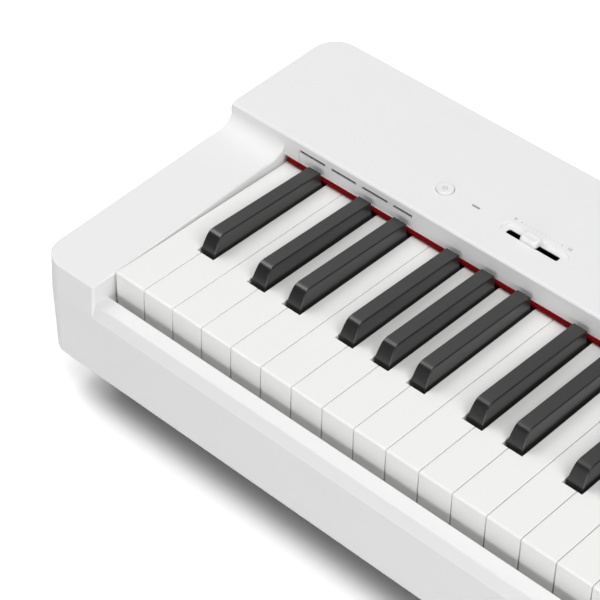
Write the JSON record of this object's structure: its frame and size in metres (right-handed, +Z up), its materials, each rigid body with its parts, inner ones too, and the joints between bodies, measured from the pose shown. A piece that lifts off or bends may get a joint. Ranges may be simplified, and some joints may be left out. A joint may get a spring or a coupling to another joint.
{
  "type": "digital piano",
  "caption": "Slab digital piano with full-size keys under a raised control panel, a volume slider, push buttons, rear sockets and rubber feet.",
  "frame": {"origin": "middle of the footprint, on the plane of the rubber feet", "axes": "+X along the keyboard to the highest note, -Y towards the player, +Z up"},
  "size_m": [1.318, 0.263, 0.1305],
  "materials": {
    "case_white": "fine matt grain",
    "button_white": "satin",
    "tray_grey": "matt",
    "red_felt": "felt",
    "foot_rubber": "matt",
    "screw_steel": "zinc plated",
    "insert_brass": "machined",
    "frame_steel": "galvanised",
    "rod_steel": "ground",
    "stop_felt": "felt",
    "hammer_iron": "raw",
    "circuit_board": "solder mask",
    "contact_rubber": "silicone",
    "speaker_black": "black",
    "lamp_lens": "frosted",
    "socket_black": "matt",
    "usb_steel": "plain",
    "key_white": "satin gloss",
    "key_black": "fine matt grain"
  },
  "bodies": {
    "case": {"top_case": "case_white", "front_rail": "case_white", "bottom_tray": "tray_grey", "felt_strip": "red_felt", "sound_ports": "case_white", "rubber_feet": "foot_rubber", "case_screws": "screw_steel", "stand_inserts": "insert_brass", "key_frame": "frame_steel", "pivot_rod": "rod_steel", "key_stop_felts": "stop_felt", "hammer_weights": "hammer_iron", "contact_board": "circuit_board", "rubber_contacts": "contact_rubber", "speakers": "speaker_black", "main_board": "circuit_board", "panel_board": "circuit_board", "slider_pot": "frame_steel", "power_lamp": "lamp_lens", "dc_inlet": "socket_black", "usb_socket": "usb_steel", "pedal_jack": "socket_black", "headphone_jacks": "socket_black"},
    "volume_slider": {"volume_slider": "button_white"},
    "power_button": {"power_button": "button_white"},
    "function_button_1": {"function_button_1": "button_white"},
    "function_button_2": {"function_button_2": "button_white"},
    "function_button_3": {"function_button_3": "button_white"},
    "function_button_4": {"function_button_4": "button_white"},
    "key_a0": {"key_a0": "key_white"},
    "key_as0": {"key_as0": "key_black"},
    "key_b0": {"key_b0": "key_white"},
    "key_c1": {"key_c1": "key_white"},
    "key_cs1": {"key_cs1": "key_black"},
    "key_d1": {"key_d1": "key_white"},
    "key_ds1": {"key_ds1": "key_black"},
    "key_e1": {"key_e1": "key_white"},
    "key_f1": {"key_f1": "key_white"},
    "key_fs1": {"key_fs1": "key_black"},
    "key_g1": {"key_g1": "key_white"},
    "key_gs1": {"key_gs1": "key_black"},
    "key_a1": {"key_a1": "key_white"},
    "key_as1": {"key_as1": "key_black"},
    "key_b1": {"key_b1": "key_white"},
    "white_keys_2": {"white_keys_2": "key_white"},
    "black_keys_2": {"black_keys_2": "key_black"},
    "white_keys_3": {"white_keys_3": "key_white"},
    "black_keys_3": {"black_keys_3": "key_black"},
    "white_keys_4": {"white_keys_4": "key_white"},
    "black_keys_4": {"black_keys_4": "key_black"},
    "white_keys_5": {"white_keys_5": "key_white"},
    "black_keys_5": {"black_keys_5": "key_black"},
    "white_keys_6": {"white_keys_6": "key_white"},
    "black_keys_6": {"black_keys_6": "key_black"},
    "white_keys_7": {"white_keys_7": "key_white"},
    "black_keys_7": {"black_keys_7": "key_black"},
    "key_c8": {"key_c8": "key_white"}
  },
  "joints": [
    {"name": "volume_travel", "type": "slide", "parent": "case", "child": "volume_slider", "axis": [1, 0, 0], "range_m": [-0.013, 0.018]},
    {"name": "power_button_press", "type": "slide", "parent": "case", "child": "power_button", "axis": [0, 0, -1], "range_m": [0, 0.0008], "stiffness_N_per_m": 400, "springref_m": -0.003},
    {"name": "function_button_1_press", "type": "slide", "parent": "case", "child": "function_button_1", "axis": [0, 0, -1], "range_m": [0, 0.0008], "stiffness_N_per_m": 400, "springref_m": -0.003},
    {"name": "function_button_2_press", "type": "slide", "parent": "case", "child": "function_button_2", "axis": [0, 0, -1], "range_m": [0, 0.0008], "stiffness_N_per_m": 400, "springref_m": -0.003},
    {"name": "function_button_3_press", "type": "slide", "parent": "case", "child": "function_button_3", "axis": [0, 0, -1], "range_m": [0, 0.0008], "stiffness_N_per_m": 400, "springref_m": -0.003},
    {"name": "function_button_4_press", "type": "slide", "parent": "case", "child": "function_button_4", "axis": [0, 0, -1], "range_m": [0, 0.0008], "stiffness_N_per_m": 400, "springref_m": -0.003},
    {"name": "key_a0_swing", "type": "hinge", "parent": "case", "child": "key_a0", "pos_m": [0, 0.082, 0.092], "axis": [1, 0, 0], "range_deg": [0, 2.9], "stiffness_Nm_per_rad": 1, "springref_deg": -8.59},
    {"name": "key_as0_swing", "type": "hinge", "parent": "case", "child": "key_as0", "pos_m": [0, 0.082, 0.092], "axis": [1, 0, 0], "range_deg": [0, 2.9], "stiffness_Nm_per_rad": 1, "springref_deg": -8.59},
    {"name": "key_b0_swing", "type": "hinge", "parent": "case", "child": "key_b0", "pos_m": [0, 0.082, 0.092], "axis": [1, 0, 0], "range_deg": [0, 2.9], "stiffness_Nm_per_rad": 1, "springref_deg": -8.59},
    {"name": "key_c1_swing", "type": "hinge", "parent": "case", "child": "key_c1", "pos_m": [0, 0.082, 0.092], "axis": [1, 0, 0], "range_deg": [0, 2.9], "stiffness_Nm_per_rad": 1, "springref_deg": -8.59},
    {"name": "key_cs1_swing", "type": "hinge", "parent": "case", "child": "key_cs1", "pos_m": [0, 0.082, 0.092], "axis": [1, 0, 0], "range_deg": [0, 2.9], "stiffness_Nm_per_rad": 1, "springref_deg": -8.59},
    {"name": "key_d1_swing", "type": "hinge", "parent": "case", "child": "key_d1", "pos_m": [0, 0.082, 0.092], "axis": [1, 0, 0], "range_deg": [0, 2.9], "stiffness_Nm_per_rad": 1, "springref_deg": -8.59},
    {"name": "key_ds1_swing", "type": "hinge", "parent": "case", "child": "key_ds1", "pos_m": [0, 0.082, 0.092], "axis": [1, 0, 0], "range_deg": [0, 2.9], "stiffness_Nm_per_rad": 1, "springref_deg": -8.59},
    {"name": "key_e1_swing", "type": "hinge", "parent": "case", "child": "key_e1", "pos_m": [0, 0.082, 0.092], "axis": [1, 0, 0], "range_deg": [0, 2.9], "stiffness_Nm_per_rad": 1, "springref_deg": -8.59},
    {"name": "key_f1_swing", "type": "hinge", "parent": "case", "child": "key_f1", "pos_m": [0, 0.082, 0.092], "axis": [1, 0, 0], "range_deg": [0, 2.9], "stiffness_Nm_per_rad": 1, "springref_deg": -8.59},
    {"name": "key_fs1_swing", "type": "hinge", "parent": "case", "child": "key_fs1", "pos_m": [0, 0.082, 0.092], "axis": [1, 0, 0], "range_deg": [0, 2.9], "stiffness_Nm_per_rad": 1, "springref_deg": -8.59},
    {"name": "key_g1_swing", "type": "hinge", "parent": "case", "child": "key_g1", "pos_m": [0, 0.082, 0.092], "axis": [1, 0, 0], "range_deg": [0, 2.9], "stiffness_Nm_per_rad": 1, "springref_deg": -8.59},
    {"name": "key_gs1_swing", "type": "hinge", "parent": "case", "child": "key_gs1", "pos_m": [0, 0.082, 0.092], "axis": [1, 0, 0], "range_deg": [0, 2.9], "stiffness_Nm_per_rad": 1, "springref_deg": -8.59},
    {"name": "key_a1_swing", "type": "hinge", "parent": "case", "child": "key_a1", "pos_m": [0, 0.082, 0.092], "axis": [1, 0, 0], "range_deg": [0, 2.9], "stiffness_Nm_per_rad": 1, "springref_deg": -8.59},
    {"name": "key_as1_swing", "type": "hinge", "parent": "case", "child": "key_as1", "pos_m": [0, 0.082, 0.092], "axis": [1, 0, 0], "range_deg": [0, 2.9], "stiffness_Nm_per_rad": 1, "springref_deg": -8.59},
    {"name": "key_b1_swing", "type": "hinge", "parent": "case", "child": "key_b1", "pos_m": [0, 0.082, 0.092], "axis": [1, 0, 0], "range_deg": [0, 2.9], "stiffness_Nm_per_rad": 1, "springref_deg": -8.59},
    {"name": "white_keys_2_swing", "type": "hinge", "parent": "case", "child": "white_keys_2", "pos_m": [0, 0.082, 0.092], "axis": [1, 0, 0], "range_deg": [0, 2.9], "stiffness_Nm_per_rad": 7, "springref_deg": -8.59},
    {"name": "black_keys_2_swing", "type": "hinge", "parent": "case", "child": "black_keys_2", "pos_m": [0, 0.082, 0.092], "axis": [1, 0, 0], "range_deg": [0, 2.9], "stiffness_Nm_per_rad": 5, "springref_deg": -8.59},
    {"name": "white_keys_3_swing", "type": "hinge", "parent": "case", "child": "white_keys_3", "pos_m": [0, 0.082, 0.092], "axis": [1, 0, 0], "range_deg": [0, 2.9], "stiffness_Nm_per_rad": 7, "springref_deg": -8.59},
    {"name": "black_keys_3_swing", "type": "hinge", "parent": "case", "child": "black_keys_3", "pos_m": [0, 0.082, 0.092], "axis": [1, 0, 0], "range_deg": [0, 2.9], "stiffness_Nm_per_rad": 5, "springref_deg": -8.59},
    {"name": "white_keys_4_swing", "type": "hinge", "parent": "case", "child": "white_keys_4", "pos_m": [0, 0.082, 0.092], "axis": [1, 0, 0], "range_deg": [0, 2.9], "stiffness_Nm_per_rad": 7, "springref_deg": -8.59},
    {"name": "black_keys_4_swing", "type": "hinge", "parent": "case", "child": "black_keys_4", "pos_m": [0, 0.082, 0.092], "axis": [1, 0, 0], "range_deg": [0, 2.9], "stiffness_Nm_per_rad": 5, "springref_deg": -8.59},
    {"name": "white_keys_5_swing", "type": "hinge", "parent": "case", "child": "white_keys_5", "pos_m": [0, 0.082, 0.092], "axis": [1, 0, 0], "range_deg": [0, 2.9], "stiffness_Nm_per_rad": 7, "springref_deg": -8.59},
    {"name": "black_keys_5_swing", "type": "hinge", "parent": "case", "child": "black_keys_5", "pos_m": [0, 0.082, 0.092], "axis": [1, 0, 0], "range_deg": [0, 2.9], "stiffness_Nm_per_rad": 5, "springref_deg": -8.59},
    {"name": "white_keys_6_swing", "type": "hinge", "parent": "case", "child": "white_keys_6", "pos_m": [0, 0.082, 0.092], "axis": [1, 0, 0], "range_deg": [0, 2.9], "stiffness_Nm_per_rad": 7, "springref_deg": -8.59},
    {"name": "black_keys_6_swing", "type": "hinge", "parent": "case", "child": "black_keys_6", "pos_m": [0, 0.082, 0.092], "axis": [1, 0, 0], "range_deg": [0, 2.9], "stiffness_Nm_per_rad": 5, "springref_deg": -8.59},
    {"name": "white_keys_7_swing", "type": "hinge", "parent": "case", "child": "white_keys_7", "pos_m": [0, 0.082, 0.092], "axis": [1, 0, 0], "range_deg": [0, 2.9], "stiffness_Nm_per_rad": 7, "springref_deg": -8.59},
    {"name": "black_keys_7_swing", "type": "hinge", "parent": "case", "child": "black_keys_7", "pos_m": [0, 0.082, 0.092], "axis": [1, 0, 0], "range_deg": [0, 2.9], "stiffness_Nm_per_rad": 5, "springref_deg": -8.59},
    {"name": "key_c8_swing", "type": "hinge", "parent": "case", "child": "key_c8", "pos_m": [0, 0.082, 0.092], "axis": [1, 0, 0], "range_deg": [0, 2.9], "stiffness_Nm_per_rad": 1, "springref_deg": -8.59}
  ]
}
